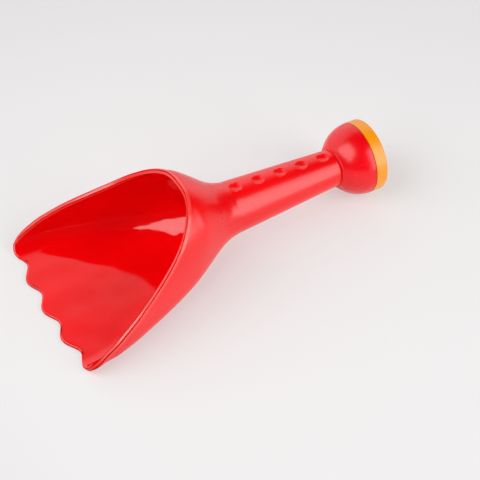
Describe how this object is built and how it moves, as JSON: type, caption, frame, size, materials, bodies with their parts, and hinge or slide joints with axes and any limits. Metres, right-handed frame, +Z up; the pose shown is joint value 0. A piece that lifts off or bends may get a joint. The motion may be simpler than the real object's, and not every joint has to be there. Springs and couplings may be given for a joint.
{
  "type": "sand shovel",
  "caption": "Toddler sand shovel with a wide scalloped scoop, a hollow handle with thumb dimples, and a bulb with a sprinkler cap that lets water rain out at the end.",
  "frame": {"origin": "on the table, under the middle of the bounding box", "axes": "+X along the shovel from the toothed front edge to the sprinkler cap, +Z up out of the scoop, +Y to the left seen from the front edge"},
  "size_m": [0.2653, 0.1354, 0.0736],
  "materials": {
    "red_body": "satin outside, glossy inside the scoop",
    "red_bulb": "satin",
    "orange_cap": "satin"
  },
  "bodies": {
    "root": {"shovel_body": "red_body", "rose_bulb": "red_bulb", "sprinkler_cap": "orange_cap"}
  },
  "joints": []
}
